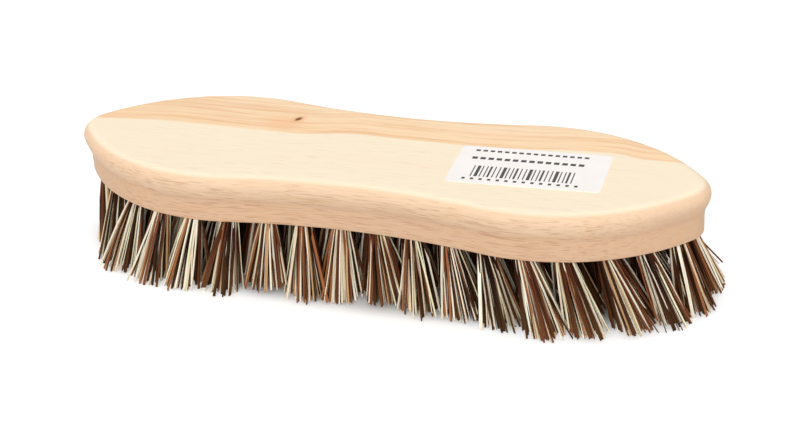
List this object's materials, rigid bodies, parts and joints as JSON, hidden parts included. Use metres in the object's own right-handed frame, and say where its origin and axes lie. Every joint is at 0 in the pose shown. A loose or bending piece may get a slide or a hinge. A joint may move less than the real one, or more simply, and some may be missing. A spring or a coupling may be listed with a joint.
{
  "type": "scrub brush",
  "caption": "Wooden scrub brush: a flat waisted block with rounded top edge and coved sides, its underside full of stiff splayed plant-fibre tufts.",
  "frame": {"origin": "on the plane of the trimmed bristle tips, under the middle of the block", "axes": "+X along the brush, towards the end with the label; +Z from the bristle tips up through the bare top of the block"},
  "size_m": [0.2208, 0.0747, 0.0421],
  "materials": {
    "beech_wood": "satin",
    "anchor_wire": "satin",
    "label_paper": "matte",
    "plant_fibre": "matte"
  },
  "bodies": {
    "root": {"wooden_block": "beech_wood", "wire_anchors": "anchor_wire", "paper_label": "label_paper", "edge_row_01": "plant_fibre", "edge_row_02": "plant_fibre", "edge_row_03": "plant_fibre", "edge_row_04": "plant_fibre", "edge_row_05": "plant_fibre", "edge_row_06": "plant_fibre", "edge_row_07": "plant_fibre", "edge_row_08": "plant_fibre", "edge_row_09": "plant_fibre", "edge_row_10": "plant_fibre", "edge_row_11": "plant_fibre", "edge_row_12": "plant_fibre", "edge_row_13": "plant_fibre", "edge_row_14": "plant_fibre", "edge_row_15": "plant_fibre", "edge_row_16": "plant_fibre", "edge_row_17": "plant_fibre", "edge_row_18": "plant_fibre", "inner_row_01": "plant_fibre", "inner_row_02": "plant_fibre", "inner_row_03": "plant_fibre", "inner_row_04": "plant_fibre", "inner_row_05": "plant_fibre", "inner_row_06": "plant_fibre", "inner_row_07": "plant_fibre", "inner_row_08": "plant_fibre", "inner_row_09": "plant_fibre", "inner_row_10": "plant_fibre", "inner_row_11": "plant_fibre", "inner_row_12": "plant_fibre", "inner_row_13": "plant_fibre"}
  },
  "joints": []
}
